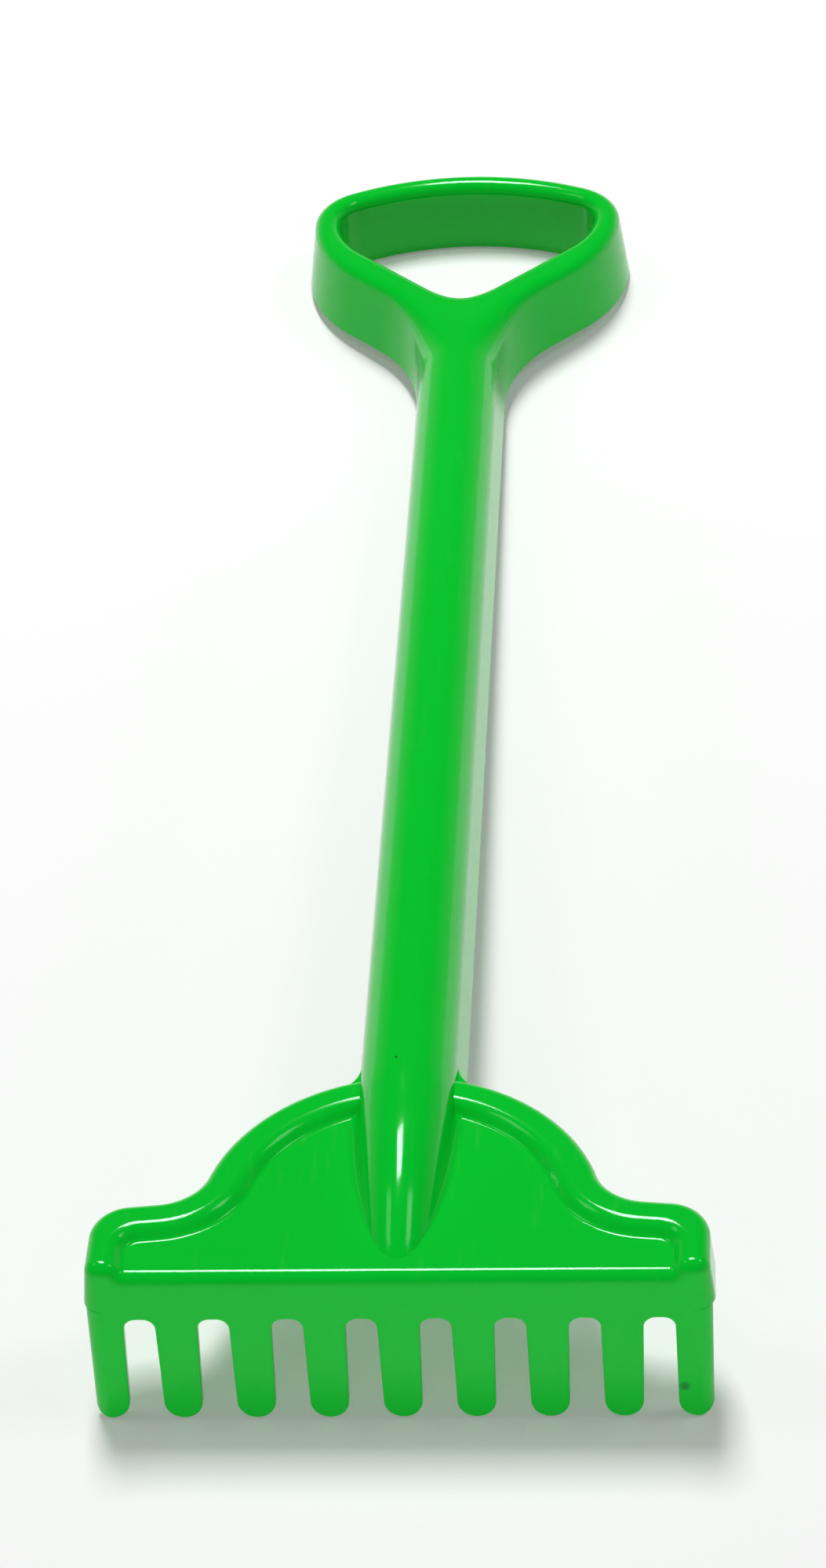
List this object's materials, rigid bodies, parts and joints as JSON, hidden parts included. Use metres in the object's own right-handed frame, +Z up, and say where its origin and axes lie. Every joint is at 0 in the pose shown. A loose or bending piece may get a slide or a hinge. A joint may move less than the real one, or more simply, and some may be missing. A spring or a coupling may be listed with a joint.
{
  "type": "sand rake",
  "caption": "Child's sand rake with a rimmed head, straight tines, a rounded hollow shaft and a D-shaped hand grip.",
  "frame": {"origin": "centre of the bounding box in plan, on the ground that the tine tips and the grip's far lower edge rest on", "axes": "+X to the right across the head, +Y along the shaft from the head towards the grip, +Z up"},
  "size_m": [0.1522, 0.5076, 0.0512],
  "materials": {
    "green_plastic": "gloss"
  },
  "bodies": {
    "root": {"rake_head": "green_plastic", "shaft": "green_plastic", "grip": "green_plastic"}
  },
  "joints": []
}
